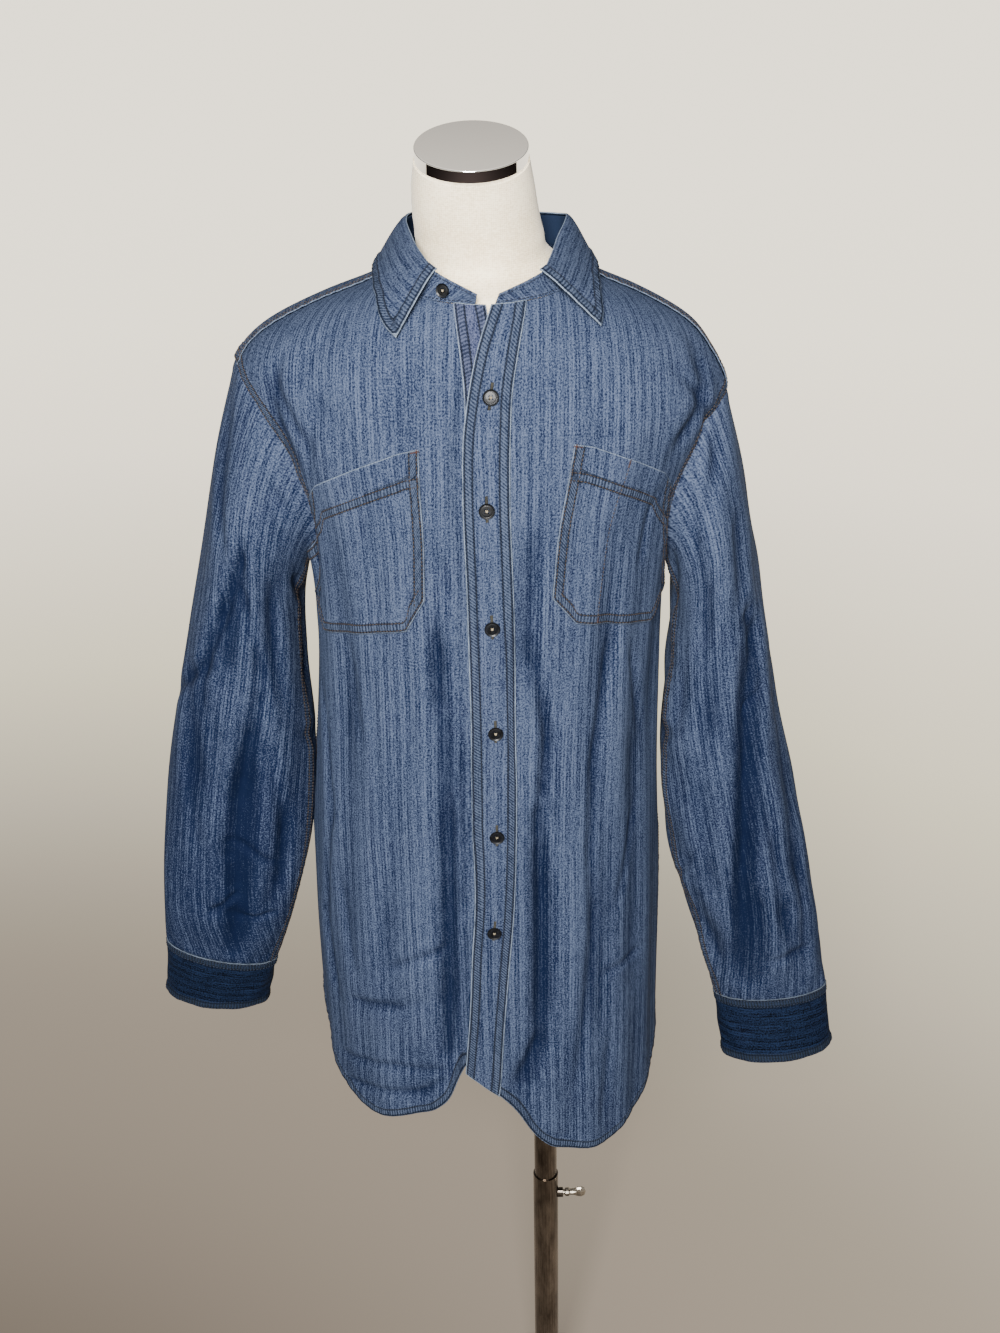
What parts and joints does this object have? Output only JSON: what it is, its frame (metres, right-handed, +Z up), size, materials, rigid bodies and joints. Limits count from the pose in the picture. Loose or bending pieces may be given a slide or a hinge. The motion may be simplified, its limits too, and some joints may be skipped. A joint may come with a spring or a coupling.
{
  "type": "denim shirt on a limbless dress form and pole stand",
  "caption": "Long-sleeved denim shirt with chest pockets, pointed collar and curved tails, worn by a limbless dress form on a telescopic pole stand.",
  "frame": {"origin": "centre of the base plate's underside, on the pole's axis", "axes": "+Z up along the pole, -Y towards the shirt's front, +X to the wearer's left"},
  "size_m": [0.6888, 0.299, 1.5651],
  "materials": {
    "denim": "slubby herringbone denim, washed",
    "cuff_denim": "the same denim, less faded, grain across",
    "button": "polished horn-effect resin",
    "jersey": "cream jersey cover over a light shell",
    "chrome": "polished, satin top",
    "tube_steel": "satin",
    "screw_steel": "plated",
    "base_steel": "satin grey"
  },
  "bodies": {
    "stand": {"base_plate": "base_steel", "pole_outer": "tube_steel"},
    "thumb_screw": {"thumb_screw": "screw_steel"},
    "mast": {"pole_inner": "tube_steel"},
    "figure": {"form": "jersey", "neck_cap": "chrome", "front_right": "denim", "front_left": "denim", "front_band": "denim", "under_band": "denim", "pocket_right": "denim", "pocket_left": "denim", "back": "denim", "yoke": "denim", "sleeve_right": "denim", "sleeve_left": "denim", "sleeve_placket_right": "denim", "sleeve_placket_left": "denim", "collar_stand": "denim", "collar_leaf": "denim", "cuff_right": "cuff_denim", "cuff_left": "cuff_denim", "button_1": "button", "button_2": "button", "button_3": "button", "button_4": "button", "button_5": "button", "button_6": "button", "collar_button": "button", "cuff_button_right": "button", "cuff_button_left": "button"}
  },
  "joints": [
    {"name": "screw_turn", "type": "hinge", "parent": "stand", "child": "thumb_screw", "pos_m": [0.03, 0, 0.41], "axis": [1, 0, 0], "continuous": true},
    {"name": "height", "type": "slide", "parent": "stand", "child": "mast", "axis": [0, 0, 1], "range_m": [-0.14, 0.16]},
    {"name": "swivel", "type": "hinge", "parent": "mast", "child": "figure", "pos_m": [0, 0, 1.06], "axis": [0, 0, 1], "continuous": true}
  ]
}
